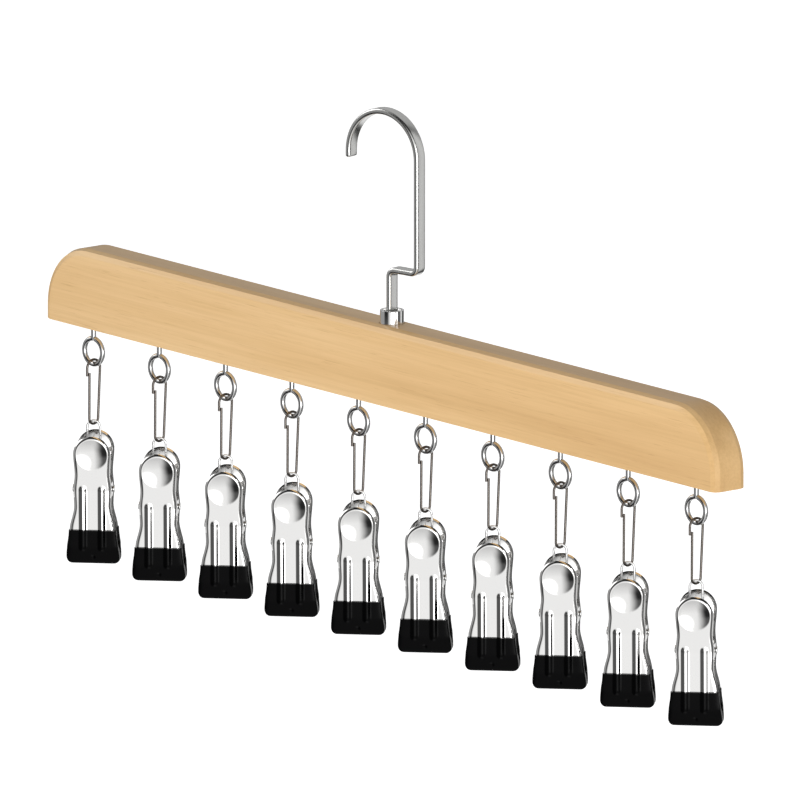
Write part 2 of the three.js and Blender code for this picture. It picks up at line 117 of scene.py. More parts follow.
# Ferrule
FERRULE_RADIUS = 5.1
FERRULE_WALL = 1.2
FERRULE_FLOOR = 2.5
FERRULE_EDGE = 0.35
FERRULE_EDGE_STEPS = 3
FERRULE_SIDES = 72
FERRULE_CREASE = 30

# Screw eyes and links
EYE_WIRE_RADIUS = 1.1
EYE_WIRE_SIDES = 16
EYE_RING_RADIUS = 5.5
EYE_RING_STEPS = 56
EYE_NECK_RADIUS = 1.3
EYE_NECK_STEPS = 10
EYE_END = 12  # degrees between the top of the ring and the end of its wire
EYE_TURN = 5.5  # degrees that the rings are turned from the bar
EYE_POINT = 3
EYE_POINT_SHARE = 0.15  # of the wire's thickness, left at the point
EYE_THREAD = 14
LINK_WIRE_RADIUS = 0.55
LINK_LENGTH = 27.7
LINK_TOP_RADIUS = 3.45
LINK_TOP_STEPS = 24
LINK_FOOT_RADIUS = 2.35
LINK_FOOT_STEPS = 20
LINK_LAP_START = 5.6
LINK_LAP_END = 6.8
LINK_LAP_GAP = 0.12
WIRE_ROUNDNESS = 3  # bevel resolution of a drawn wire
WIRE_CREASE = 40

# Clip halves, from the pin's axis
PLATE = 0.8
PLATE_OFFSET = 5.65
PLATE_BEND = 1.5  # half the height over which the handle bends into the jaw
PLATE_CREASE = 45
HANDLE_SPLAY = 7.8  # degrees
JAW_LEAN = 2  # degrees
PAD_RADIUS = 8
PAD_HEIGHT = 16
PAD_ARC = 84  # degrees of the pad's round top, so that its last row has a width
PLATE_FOOT = -23
PLATE_WIDTHS = [(-24, 10), (-17.4, 9.85), (-7, 7.9), (0, 8.15), (7.2, 7.5), (16, 8)]  # height, half width
PLATE_COLUMNS = 56
PLATE_ROWS = 112
PAD_ROWS_SHARE = 0.24
RIBBED_HALF_WIDTH = 6.2
RIBBED_MARGIN = 0.6
RIBBED_SHARE = 0.8
RIM_WIDTH = 1.5
RIM_DEPTH = 1.1
DISH_RADIUS = 6.75
DISH_DEPTH = 1.2
RIB_OFFSET = 4.05
RIB_HALF_WIDTH = 1.65
RIB_HEIGHT = 0.65
RIB_ROUNDNESS = 1.4
RIB_TOP = 2.3
EAR_RADIUS = 3
EAR_ROUND_SHARE = 0.98  # just short of a full half circle, so that the two roundings don't meet
EAR_STEPS = 12
EAR_INSET = 0.6  # how far the ear starts behind the plate's outside
EAR_HOLE = 1.4
EAR_HOLE_SIDES = 32
FRONT_EAR = 7.1
REAR_EAR = 5.9
PIN_RADIUS = 1.1
PIN_SIDES = 32
PIN_REACH = 8.3
PIN_HEAD_RADIUS = 1.7
PIN_HEAD = 0.6
PIN_EDGE = 0.28
PIN_EDGE_STEPS = 4
PIN_CREASE = 35

# Vinyl-dipped tips, from the pin's axis
TIP_TOP = -17.1
TIP_BEND = -24
TIP_FOOT = -32
TIP_TOP_HALF_WIDTH = 10.2
TIP_FOOT_HALF_WIDTH = 11.5
TIP_CORNER_RADIUS = 2.8
TIP_THICKNESS = 2.5
TIP_LEAST_HALF_DEPTH = 0.1
TIP_CLOSING_TOP = -23
TIP_FACE_TOP = -26.3
TIP_FACE_OUT = 0.15
TIP_FOOT_OUT = 3
TIP_FOOT_ROUND = 1.25
TIP_FOOT_ARC = 84  # degrees of the foot's rounding, so that its last row has a depth
TIP_COLUMNS = 112
TIP_ROWS = 44
TIP_STRAIGHT_SHARE = 0.72  # of the rows, above the rounded foot
TIP_EVEN_SHARE = 0.6  # how far the columns are spread evenly across, and not as on a round bar
TIP_SQUARENESS = 7
TIP_SEAM = 0.01  # of a round bar's radius, where the sleeve's front begins
TIP_RIB_FOOT = -26.5
TIP_RIB_FADE = 2
TIP_MARK_HEIGHT = -29
TIP_MARK_RADIUS = 1
TIP_MARK_EDGE = 0.5
TIP_MARK_DEPTH = 0.3
TIP_CREASE = 50

# Spring wire
SPRING_WIRE_RADIUS = 0.5
SPRING_COIL_RADIUS = 1.9
SPRING_LOOP_HALF_WIDTH = 2.7
SPRING_LOOP_RISE = 29.4
SPRING_LOOP_LEAN = 12
SPRING_LOOP_STEPS = 10
SPRING_TURNS = 1.5
SPRING_PITCH = 1.6
SPRING_ARM = 9.5
SPRING_ARM_OUT = 5.1
SPRING_ARM_SET = 0.5
SPRING_ARM_FOOT = 2
SPRING_ARM_OVERLAP = 3  # steps of the coil that the arm runs along
SPRING_STEPS = 24

# Wood: colours at places along the noise that draws them
WOOD_STREAKS = [(0.3, (0.57, 0.352, 0.151)), (0.5, (0.685, 0.45, 0.212)), (0.7, (0.77, 0.535, 0.28))]
WOOD_FIBRES = [(0.35, (0.94, 0.92, 0.895)), (0.6, WHITE)]
WOOD_PORES = [(0.28, (0.80, 0.74, 0.68)), (0.36, WHITE)]
WOOD_PORE_SHARE = 0.7
NOISE_ROUGHNESS = 0.55

# The Mix node's colour sockets go by number, because its other sockets have the same names
MIX_FIRST = 6
MIX_SECOND = 7
MIX_RESULT = 2

# View of the photograph, with its angles in degrees
VIEW_AZIMUTH = 51.45
VIEW_ELEVATION = 12.05
VIEW_LENS = 1700
VIEW_SENSOR = 36
VIEW_PIXELS_PER_MM = 2.39
VIEW_PIXELS = 800
VIEW_SWIVEL_PIXEL = (392, 322.7)

# Floor, in metres
FLOOR_SIZE = 16
FLOOR_DROP = 0.3

# Studio, with its angles in degrees
ROOM_BRIGHTNESS = 0.02
KEY_PLACE = (63, -5)  # azimuth and elevation
KEY_RADIUS = 13
KEY_SOFTNESS = 12
KEY_BRIGHTNESS = 5
AZIMUTH_START = -90
# Each panel's azimuths and elevations, the softness of its edges, and its brightness
STUDIO_PANELS = {
    "front": ((21, 84), (-46, 36), 14, 0.9),
    "front_glow": ((52, 84), (-18, 30), 18, 0.5),
    "front_right_gap": ((84, 136), (-85, 36), 6, 0.1),
    "strip": ((98, 104), (-11, 24), 2, 5),
    "right": ((138, 160), (-60, 40), 5, 0.7),
    "under": ((10, 100), (-76, -46), 12, 0.62),
    "below": ((-95, 275), (-95, -76), 6, 1.2),
    "back": ((170, 262), (0, 80), 12, 0.42),
    "back_low": ((195, 255), (-70, -6), 8, 0.85),
    "left": ((-86, -24), (-24, 70), 4, 0.3),
    "left_upper": ((-80, -44), (10, 44), 8, 2.2),
    "left_front": ((-24, 22), (-22, -4), 5, 0.07),
}

joint_places = {joint["name"]: Vector(joint["pos_m"]) for joint in frame["joints"]}
joint_axes = {joint["name"]: Vector(joint["axis"]) for joint in frame["joints"]}
numbers = sorted(name.removeprefix("clip_open_") for name in joint_places if name.startswith("clip_open_"))
swivel = joint_places["bar_swivel"]


def smooth(value):
    """Eases from 0 to 1 as the value goes from 0 to 1."""
    value = min(max(value, 0), 1)
    return value * value * (3 - 2 * value)


def eased(places, at):
    """The height of a gentle curve through (place, height) pairs."""
    if at <= places[0][0]:
        return places[0][1]
    for (before, low), (after, high) in zip(places, places[1:]):
        if at <= after:
            return low + (high - low) * smooth((at - before) / (after - before))
    return places[-1][1]


def select(*pieces):
    """Selects only these pieces, with the first one active."""
    bpy.ops.object.select_all(action="DESELECT")
    for piece in pieces:
        piece.select_set(True)
    bpy.context.view_layer.objects.active = pieces[0]


def start(add, scale=(1, 1, 1), **settings):
    """Adds a primitive with nothing else selected, and applies its place."""
    bpy.ops.object.select_all(action="DESELECT")
    add(**settings)
    bpy.context.object.scale = scale
    bpy.ops.object.transform_apply(location=True, rotation=True, scale=True)
    return bpy.context.object


def edit():
    """Enters edit mode."""
    bpy.ops.object.mode_set(mode="EDIT")


def done():
    """Points the faces outwards and leaves edit mode."""
    bpy.ops.mesh.select_all(action="SELECT")
    bpy.ops.mesh.normals_make_consistent(inside=False)
    bpy.ops.object.mode_set(mode="OBJECT")


def pick(piece, kind, test):
    """Selects the edges or the faces that pass a test on their corner points."""
    bpy.ops.mesh.select_mode(type=kind)
    bpy.ops.mesh.select_all(action="DESELECT")
    mesh = bmesh.from_edit_mesh(piece.data)
    parts = mesh.edges if kind == "EDGE" else mesh.faces
    for part in parts:
        part.select_set(test([vertex.co for vertex in part.verts]))
    mesh.select_flush_mode()
    bmesh.update_edit_mesh(piece.data)


def draw_out(step):
    """Draws out the selected face by a step."""
    bpy.ops.mesh.extrude_region_move(TRANSFORM_OT_translate={"value": step})


def rivet_over(at, growth, step):
    """Spreads the selected end face about a point and draws it out, as a riveted head."""
    bpy.ops.mesh.extrude_region_move()
    bpy.ops.transform.resize(value=growth, center_override=at)
    draw_out(step)


def bevel_sharp(width, segments):
    """Rounds the sharp edges of the piece in edit mode."""
    bpy.ops.mesh.select_mode(type="EDGE")
    bpy.ops.mesh.select_all(action="DESELECT")
    bpy.ops.mesh.edges_select_sharp(sharpness=math.radians(SHARP_EDGE))
    bpy.ops.mesh.bevel(offset=width, segments=segments)


def finish_with(piece, kind, **settings):
    """Adds a modifier to a piece and applies it."""
    select(piece)
    modifier = piece.modifiers.new(kind.lower(), kind)
    for name, value in settings.items():
        setattr(modifier, name, value)
    bpy.ops.object.modifier_apply(modifier=modifier.name)


def cut(piece, cutter):
    """Cuts one piece out of another and clears it away."""
    finish_with(piece, "BOOLEAN", object=cutter, operation="DIFFERENCE", solver="EXACT")
    bpy.data.objects.remove(cutter)


def joined(pieces):
    """The pieces as one."""
    select(*pieces)
    bpy.ops.object.join()
    return pieces[0]


def smoothed(piece, crease):
    """Shades a piece smooth, apart from edges sharper than the crease."""
    select(piece)
    bpy.ops.object.shade_smooth_by_angle(angle=math.radians(crease))
    return piece


class Bender:
    """Draws out the selected end face of a strip or a wire, straight or round a bend."""

    def __init__(self, at, heading):
        self.at = Vector(at)
        self.heading = Vector(heading)

    def run(self, length):
        """Goes straight on."""
        step = self.heading * length
        draw_out(step)
        self.at = self.at + step

    def bend(self, angle, radius, toward, steps):
        """Turns by an angle in degrees toward a side."""
        centre = self.at + Vector(toward) * radius
        axis = self.heading.cross(toward)
        turn = math.radians(angle)
        bpy.ops.mesh.spin(steps=steps, angle=-turn, center=centre, axis=axis)
        rotation = Matrix.Rotation(turn, 3, axis)
        self.at = centre + rotation @ (self.at - centre)
        self.heading = rotation @ self.heading


def wire_along(points, radius):
    """A round wire drawn through points and made a mesh."""
    curve = bpy.data.curves.new("wire", "CURVE")
    curve.dimensions = "3D"
    curve.bevel_depth = radius
    curve.bevel_resolution = WIRE_ROUNDNESS
    curve.use_fill_caps = True
    spline = curve.splines.new("POLY")
    spline.points.add(len(points) - 1)
    for place, point in zip(spline.points, points):
        place.co = (*point, 1)
    wire = bpy.data.objects.new("wire", curve)
    bpy.context.scene.collection.objects.link(wire)
    select(wire)
    bpy.ops.object.convert(target="MESH")
    return smoothed(bpy.context.object, WIRE_CREASE)


def arc(x, y, radius, first, last, steps):
    """Points on an arc about (x, y), with its angles in degrees."""
    angles = [math.radians(first + (last - first) * step / steps) for step in range(steps + 1)]
    return [(x + radius * math.cos(angle), y + radius * math.sin(angle)) for angle in angles]


def make_bar():
    """The bar, with round upper corners, faceted edges, and holes for the ferrule and the screw eyes."""
    low, high = (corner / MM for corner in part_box("bar"))

    def is_upper_corner(ends):
        on_top = all(end.z > high.z - NEAR for end in ends)
        return on_top and abs(ends[0].x - ends[1].x) < NEAR

    def is_side_edge(ends):
        on_front = all(end.y < low.y + NEAR for end in ends)
        on_back = all(end.y > high.y - NEAR for end in ends)
        return (on_front or on_back) and any(end.z > low.z + NEAR for end in ends)

    def is_foot_edge(ends):
        return all(end.z < low.z + NEAR for end in ends)

    bar = start(bpy.ops.mesh.primitive_cube_add, size=1, location=(low + high) / 2, scale=high - low)
    edit()
    pick(bar, "EDGE", is_upper_corner)
    bpy.ops.mesh.bevel(offset=BAR_CORNER_RADIUS, segments=BAR_CORNER_STEPS)
    pick(bar, "EDGE", is_side_edge)
    bpy.ops.mesh.bevel(offset=BAR_EDGE_RADIUS, segments=BAR_EDGE_FACETS)
    pick(bar, "EDGE", is_foot_edge)
    bpy.ops.mesh.bevel(offset=BAR_FOOT_EDGE, segments=BAR_FOOT_STEPS)
    done()
    cut(bar, make_bar_cutter(low.z, high.z))
    smoothed(bar, BAR_CREASE)
    finish_with(bar, "WEIGHTED_NORMAL", keep_sharp=True)
    return bar


def make_bar_cutter(foot, top):
    """The ferrule's seat and the screw eyes' pilot holes, as one cutting piece."""
    seat_place = (swivel.x / MM, swivel.y / MM, top + (CUT_MARGIN - SEAT_DEPTH) / 2)
    holes = [start(bpy.ops.mesh.primitive_cylinder_add, vertices=SEAT_SIDES, radius=SEAT_RADIUS,
                   depth=SEAT_DEPTH + CUT_MARGIN, location=seat_place)]
    for number in numbers:
        eye = joint_places[f"link_swing_{number}"] / MM
        place = (eye.x, eye.y, foot + (PILOT_DEPTH - CUT_MARGIN) / 2)
        holes.append(start(bpy.ops.mesh.primitive_cylinder_add, vertices=PILOT_SIDES, radius=PILOT_RADIUS,
                           depth=PILOT_DEPTH + CUT_MARGIN, location=place))
    return joined(holes)


def make_hook(bar_top):
    """The strip, bent as by hand from its foot in the ferrule up to its tip, about the middle of its arch."""
    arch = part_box("hook")[1].z / MM - HOOK_THICKNESS / 2 - HOOK_RADIUS
    shank = HOOK_RADIUS - HOOK_JOG
    foot = bar_top - HOOK_FOOT
    jog = bar_top + HOOK_JOG_HEIGHT
    bend = HOOK_BEND_RADIUS
    strip = start(bpy.ops.mesh.primitive_plane_add, size=1, location=(shank, 0, foot),
                  scale=(HOOK_THICKNESS, HOOK_WIDTH, 1))
    edit()
    bpy.ops.mesh.select_all(action="SELECT")
    tool = Bender((shank, 0, foot), UP)
    tool.run(jog - bend - foot)
    tool.bend(90, bend, RIGHT, HOOK_BEND_STEPS)
    tool.run(HOOK_JOG - 2 * bend)
    tool.bend(90, bend, UP, HOOK_BEND_STEPS)
    tool.run(arch - jog - bend)
    tool.bend(180, HOOK_RADIUS, LEFT, HOOK_ARCH_STEPS)
    tool.run(HOOK_TIP)
    bevel_sharp(HOOK_EDGE, HOOK_EDGE_STEPS)
    done()
    return smoothed(joined([strip, make_stem(shank, foot)]), HOOK_CREASE)


def make_stem(x, strip_foot):
    """The round stem under the strip, with its riveted end."""
    top = strip_foot + STEM_OVERLAP
    end = top - STEM_LENGTH
    stem = start(bpy.ops.mesh.primitive_cylinder_add, vertices=STEM_SIDES, radius=STEM_RADIUS,
                 depth=STEM_LENGTH, location=(x, 0, top - STEM_LENGTH / 2))
    growth = RIVET_RADIUS / STEM_RADIUS
    edit()
    pick(stem, "FACE", lambda corners: all(corner.z < end + NEAR for corner in corners))
    rivet_over((x, 0, end), (growth, growth, 1), (0, 0, -RIVET_HEIGHT))
    bevel_sharp(RIVET_EDGE, RIVET_EDGE_STEPS)
    done()
    return stem


def make_ferrule():
    """The polished cup in the bar that the hook's foot stands in."""
    low, high = (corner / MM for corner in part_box("ferrule"))
    height = high.z - low.z
    cup = start(bpy.ops.mesh.primitive_cylinder_add, vertices=FERRULE_SIDES, radius=FERRULE_RADIUS,
                depth=height, location=(swivel.x / MM, swivel.y / MM, (low.z + high.z) / 2))
    edit()
    pick(cup, "FACE", lambda corners: all(corner.z > high.z - NEAR for corner in corners))
    bpy.ops.mesh.inset(thickness=FERRULE_WALL)
    draw_out((0, 0, FERRULE_FLOOR - height))
    bevel_sharp(FERRULE_EDGE, FERRULE_EDGE_STEPS)
    done()
    return smoothed(cup, FERRULE_CREASE)


def make_screw_eye(thread_top):
    """A wire closed into a ring and turned up into a shank, about the middle of the ring."""
    turn = math.degrees(math.asin(EYE_NECK_RADIUS / (EYE_RING_RADIUS + EYE_NECK_RADIUS)))
    first = math.radians(90 - EYE_END)
    at = Vector((EYE_RING_RADIUS * math.cos(first), 0, EYE_RING_RADIUS * math.sin(first)))
    heading = Vector((math.sin(first), 0, -math.cos(first)))
    eye = start(bpy.ops.mesh.primitive_circle_add, vertices=EYE_WIRE_SIDES, radius=EYE_WIRE_RADIUS,
                fill_type="NGON", location=at, rotation=(0, math.pi - first, 0))
    edit()
    bpy.ops.mesh.select_all(action="SELECT")
    tool = Bender(at, heading)
    tool.bend(360 - EYE_END - turn, EYE_RING_RADIUS, -at.normalized(), EYE_RING_STEPS)
    tool.bend(90 - turn, EYE_NECK_RADIUS, tool.at.normalized(), EYE_NECK_STEPS)
    tool.run(thread_top - EYE_POINT - tool.at.z)
    tool.run(EYE_POINT)
    bpy.ops.transform.resize(value=[EYE_POINT_SHARE] * 3, center_override=tool.at)
    done()
    return smoothed(eye, WIRE_CREASE)


def make_link():
    """A wire bent into a long loop with its ends lapped on one leg, about the wire's middle at the foot."""
    lap = 2 * LINK_WIRE_RADIUS + LINK_LAP_GAP
    line = [(lap - LINK_TOP_RADIUS, LINK_LENGTH - LINK_LAP_START)]
    line += arc(0, LINK_FOOT_RADIUS, LINK_FOOT_RADIUS, -180, 0, LINK_FOOT_STEPS)
    line += arc(0, LINK_LENGTH - LINK_TOP_RADIUS, LINK_TOP_RADIUS, 0, 180, LINK_TOP_STEPS)
    line += [(-LINK_TOP_RADIUS, LINK_LENGTH - LINK_LAP_END)]
    return wire_along([(0, y, z) for y, z in line], LINK_WIRE_RADIUS)


def spring_half():
    """Points from the first coil's start to the top of the loop."""
    reach = SPRING_LOOP_HALF_WIDTH + SPRING_TURNS * SPRING_PITCH
    points = []
    for step in range(int(SPRING_TURNS * SPRING_STEPS) + 1):
        angle = math.pi + 2 * math.pi * step / SPRING_STEPS
        x = SPRING_PITCH * step / SPRING_STEPS - reach
        points.append((x, SPRING_COIL_RADIUS * math.cos(angle), SPRING_COIL_RADIUS * math.sin(angle)))
    points.append((-SPRING_LOOP_HALF_WIDTH, 0, SPRING_LOOP_LEAN))
    shoulder = SPRING_LOOP_RISE - SPRING_LOOP_HALF_WIDTH
    bow = arc(0, shoulder, SPRING_LOOP_HALF_WIDTH, 180, 90, SPRING_LOOP_STEPS)
    return points + [(x, 0, z) for x, z in bow]


def make_loop():
    """The spring's two coils and the loop between them that the clip hangs by."""
    half = spring_half()
    other = [(-x, -y, z) for x, y, z in reversed(half[:-1])]
    return wire_along(half + other, SPRING_WIRE_RADIUS)


def make_arm():
    """The spring's front arm, up to the inside of the front plate.

    Its foot runs on along the coil's first steps, so that the wire stays whole while the clip opens.
    """
    along_coil = spring_half()[SPRING_ARM_OVERLAP::-1]
    x, y, _ = along_coil[-1]
    arm = [(x, y - SPRING_ARM_SET, SPRING_ARM_FOOT), (x, -SPRING_ARM_OUT, SPRING_ARM)]
    return wire_along(along_coil + arm, SPRING_WIRE_RADIUS)


def plate_out(height):
    """How far the plate's outside lies in front of the pin's axis."""
    handle = math.tan(math.radians(HANDLE_SPLAY))
    jaw = math.tan(math.radians(JAW_LEAN))
    blend = smooth((height + PLATE_BEND) / (2 * PLATE_BEND))
    return PLATE_OFFSET + height * (jaw + (handle - jaw) * blend)


def rib_height(x, height):
    """Height of the two pressed ribs, which are rounded across and at their upper ends."""
    end = RIB_TOP - RIB_HALF_WIDTH
    across = abs(abs(x) - RIB_OFFSET)
    away = math.hypot(across, height - end) if height > end else across
    return RIB_HEIGHT * max(0, 1 - (away / RIB_HALF_WIDTH) ** RIB_ROUNDNESS)


def plate_row(share):
    """The plate's height and half width at a share of the flat sheet's length."""
    straight = 1 - PAD_ROWS_SHARE
    if share <= straight:
        height = PLATE_FOOT + (PAD_HEIGHT - PLATE_FOOT) * share / straight
        return height, eased(PLATE_WIDTHS, height)
    angle = math.radians(PAD_ARC) * (share - straight) / PAD_ROWS_SHARE
    return PAD_HEIGHT + PAD_RADIUS * math.sin(angle), PAD_RADIUS * math.cos(angle)


def plate_column(across, half_width):
    """A place across the plate. Most of the sheet's columns go to the ribbed middle."""
    inner = RIBBED_HALF_WIDTH * min(1, half_width / (RIBBED_HALF_WIDTH + RIBBED_MARGIN))
    if abs(across) <= RIBBED_SHARE:
        return across / RIBBED_SHARE * inner
    outer_share = (abs(across) - RIBBED_SHARE) / (1 - RIBBED_SHARE)
    return math.copysign(inner + outer_share * (half_width - inner), across)


def plate_place(across, up):
    """A point of the pressed plate's outside, from its place on the flat sheet, from -1 to 1 each way."""
    height, half_width = plate_row((up + 1) / 2)
    x = plate_column(across, half_width)
    from_pad = math.hypot(x, height - PAD_HEIGHT)
    edge = PAD_RADIUS - from_pad if height > PAD_HEIGHT else half_width - abs(x)
    rim = RIM_DEPTH * max(0, 1 - max(edge, 0) / RIM_WIDTH) ** 2
    dish = DISH_DEPTH * max(0, 1 - (from_pad / DISH_RADIUS) ** 2)
    return Vector((x, rim + dish - rib_height(x, height) - plate_out(height), height))


def make_ear(x):
    """An ear reaching back round the pin, with its hole."""
    front = EAR_INSET - PLATE_OFFSET

    def is_back_corner(ends):
        at_back = all(end.y > EAR_RADIUS - NEAR for end in ends)
        return at_back and abs(ends[0].x - ends[1].x) > NEAR

    ear = start(bpy.ops.mesh.primitive_cube_add, size=1, location=(x, (EAR_RADIUS + front) / 2, 0),
                scale=(PLATE, EAR_RADIUS - front, 2 * EAR_RADIUS))
    edit()
    pick(ear, "EDGE", is_back_corner)
    bpy.ops.mesh.bevel(offset=EAR_RADIUS * EAR_ROUND_SHARE, segments=EAR_STEPS)
    done()
    hole = start(bpy.ops.mesh.primitive_cylinder_add, vertices=EAR_HOLE_SIDES, radius=EAR_HOLE,
                 depth=PLATE + 2 * CUT_MARGIN, location=(x, 0, 0), rotation=(0, math.pi / 2, 0))
    cut(ear, hole)
    return ear


def make_plate(ear):
    """A pressed plate: a dished thumb pad with a rolled rim, two ribs and an ear at each side."""
    sheet = start(bpy.ops.mesh.primitive_grid_add, size=2,
                  x_subdivisions=PLATE_COLUMNS, y_subdivisions=PLATE_ROWS)
    for vertex in sheet.data.vertices:
        vertex.co = plate_place(vertex.co.x, vertex.co.y)
    finish_with(sheet, "SOLIDIFY", thickness=PLATE, offset=-1, use_even_offset=False)
    middle = ear + PLATE / 2
    return smoothed(joined([sheet, make_ear(-middle), make_ear(middle)]), PLATE_CREASE)


def make_pin():
    """The pivot pin with its two riveted heads."""
    pin = start(bpy.ops.mesh.primitive_cylinder_add, vertices=PIN_SIDES, radius=PIN_RADIUS,
                depth=2 * PIN_REACH, rotation=(0, math.pi / 2, 0))
    growth = PIN_HEAD_RADIUS / PIN_RADIUS
    edit()
    for side in (-1, 1):
        pick(pin, "FACE", lambda corners: all(corner.x * side > PIN_REACH - NEAR for corner in corners))
        rivet_over((side * PIN_REACH, 0, 0), (1, growth, growth), (side * PIN_HEAD, 0, 0))
    bevel_sharp(PIN_EDGE, PIN_EDGE_STEPS)
    done()
    return smoothed(pin, PIN_CREASE)


def tip_sides(height):
    """The outer and inner faces of the dipped tip, as distances in front of the pin's axis."""
    outer = plate_out(height) + (TIP_THICKNESS - PLATE) / 2
    inner = outer - TIP_THICKNESS
    turned_in = smooth((TIP_BEND - height) / (TIP_BEND - TIP_FOOT))
    outer += (TIP_FOOT_OUT - outer) * turned_in
    closing = smooth((TIP_CLOSING_TOP - height) / (TIP_CLOSING_TOP - TIP_FACE_TOP))
    inner += (TIP_FACE_OUT - inner) * closing
    return outer, inner


def tip_row(down):
    """The height of a row of the tip, at a share of the way down, and how far the rounded foot thins it."""
    round_top = TIP_FOOT + TIP_FOOT_ROUND
    if down <= TIP_STRAIGHT_SHARE:
        return TIP_TOP + (round_top - TIP_TOP) * down / TIP_STRAIGHT_SHARE, 0
    angle = math.radians(TIP_FOOT_ARC) * (down - TIP_STRAIGHT_SHARE) / (1 - TIP_STRAIGHT_SHARE)
    return round_top - TIP_FOOT_ROUND * math.sin(angle), TIP_FOOT_ROUND * (1 - math.cos(angle))


def tip_half_width(height):
    """Half the width of the tip, which spreads towards its foot and has rounded lower corners."""
    corner_top = TIP_FOOT + TIP_CORNER_RADIUS
    half_width = eased([(corner_top, TIP_FOOT_HALF_WIDTH), (TIP_TOP, TIP_TOP_HALF_WIDTH)], height)
    low = max(0, corner_top - height)
    return half_width - TIP_CORNER_RADIUS + math.sqrt(max(0, TIP_CORNER_RADIUS ** 2 - low ** 2))


def tip_place(point):
    """A point of the dipped tip, from a point of a round bar of radius 1 and height 2."""
    height, thinned = tip_row((1 - point.z) / 2)
    outer, inner = tip_sides(height)
    turn = math.acos(min(max(point.x, -1), 1))
    across = TIP_EVEN_SHARE * (1 - 2 * turn / math.pi) + (1 - TIP_EVEN_SHARE) * point.x
    bulge = (1 - abs(across) ** TIP_SQUARENESS) ** (1 / TIP_SQUARENESS)
    half_depth = max((outer - inner) / 2 - thinned, TIP_LEAST_HALF_DEPTH)
    x = across * tip_half_width(height)
    y = math.copysign(bulge, point.y) * half_depth - (outer + inner) / 2
    if point.y < -TIP_SEAM:
        y += tip_dents(x, height)
    return Vector((x, y, height))


def tip_dents(x, height):
    """Ribs that show through the dip and fade out towards its foot, and a small round mark above the foot."""
    fade = smooth((height - TIP_RIB_FOOT) / TIP_RIB_FADE)
    from_mark = math.hypot(x, height - TIP_MARK_HEIGHT)
    mark = TIP_MARK_DEPTH * smooth((TIP_MARK_RADIUS - from_mark) / TIP_MARK_EDGE)
    return mark - rib_height(x, height) * fade


def make_tip():
    """The black vinyl that the front jaw is dipped in."""
    sleeve = start(bpy.ops.mesh.primitive_cylinder_add, vertices=TIP_COLUMNS, radius=1, depth=2)
    edit()
    pick(sleeve, "EDGE", lambda ends: abs(ends[0].z - ends[1].z) > NEAR)
    bpy.ops.mesh.subdivide(number_cuts=TIP_ROWS)
    done()
    for vertex in sleeve.data.vertices:
        vertex.co = tip_place(vertex.co)
    return smoothed(sleeve, TIP_CREASE)


def new_material(name, **settings):
    """A new material and its shader, with the shader's plain settings."""
    material = bpy.data.materials.new(name)
    material.use_nodes = True
    shader = material.node_tree.nodes["Principled BSDF"]
    for socket, value in settings.items():
        shader.inputs[socket.replace("_", " ")].default_value = value
    return material, shader


def join_nodes(owner, source, target):
    """Links two sockets in the nodes of a material or a world."""
    owner.node_tree.links.new(source, target)


def add_node(owner, kind, inputs=(), **settings):
    """Adds a node to a material or a world, and sets its inputs from values or from other nodes' outputs."""
    node = owner.node_tree.nodes.new(kind)
    for name, value in settings.items():
        setattr(node, name, value)
    for name, value in dict(inputs).items():
        if isinstance(value, bpy.types.NodeSocket):
            join_nodes(owner, value, node.inputs[name])
        else:
            node.inputs[name].default_value = value
    return node


def stretched_noise(owner, stretch=(1, 1, 1), scale=1.0, detail=4.0):
    """Noise in the piece's own coordinates, drawn out or packed along each axis."""
    place = add_node(owner, "ShaderNodeTexCoord")
    mapping = add_node(owner, "ShaderNodeMapping", {"Vector": place.outputs["Object"], "Scale": stretch})
    noise = add_node(owner, "ShaderNodeTexNoise", {
        "Vector": mapping.outputs["Vector"], "Scale": scale, "Detail": detail, "Roughness": NOISE_ROUGHNESS})
    return noise.outputs["Fac"]


def ramp(owner, value, stops):
    """Colours for a value, from (place, colour) stops."""
    node = add_node(owner, "ShaderNodeValToRGB", {"Fac": value})
    elements = node.color_ramp.elements
    while len(elements) < len(stops):
        elements.new(0.5)
    for element, (place, colour) in zip(elements, stops):
        element.position = place
        element.color = (*colour, 1)
    return node.outputs["Color"]


def multiplied(owner, first, second, share=1.0):
    """A colour darkened by a share of another."""
    inputs = {"Factor": share, MIX_FIRST: first, MIX_SECOND: second}
    mix = add_node(owner, "ShaderNodeMix", inputs, data_type="RGBA", blend_type="MULTIPLY")
    return mix.outputs[MIX_RESULT]


def between(owner, value, low, high):
    """A value from 0 to 1 moved to another range."""
    node = add_node(owner, "ShaderNodeMapRange", {"Value": value, "To Min": low, "To Max": high})
    return node.outputs["Result"]


def roughen(owner, shader, marks, low, high):
    """Lets the shader's roughness follow marks, between two limits."""
    join_nodes(owner, between(owner, marks, low, high), shader.inputs["Roughness"])


def bumped(owner, shader, height, strength, distance):
    """Lets the shader's surface follow a height."""
    bump = add_node(owner, "ShaderNodeBump", {"Height": height, "Strength": strength, "Distance": distance})
    join_nodes(owner, bump.outputs["Normal"], shader.inputs["Normal"])


def make_wood():
    """Pale lacquered wood with straight grain along the bar."""
    wood, shader = new_material("pale_wood", Specular_IOR_Level=0.17, Coat_Weight=0.4, Coat_Roughness=0.12)
    streaks = stretched_noise(wood, stretch=(1.8, 34, 34), detail=5)
    fibres = stretched_noise(wood, stretch=(14, 900, 900), detail=3)
    pores = stretched_noise(wood, stretch=(60, 2600, 2600), detail=2)
    grain = multiplied(wood, ramp(wood, streaks, WOOD_STREAKS), ramp(wood, fibres, WOOD_FIBRES))
    flecked = multiplied(wood, grain, ramp(wood, pores, WOOD_PORES), WOOD_PORE_SHARE)
    join_nodes(wood, flecked, shader.inputs["Base Color"])
    roughen(wood, shader, fibres, low=0.34, high=0.5)
    bumped(wood, shader, fibres, strength=0.12, distance=0.0002)
    return wood


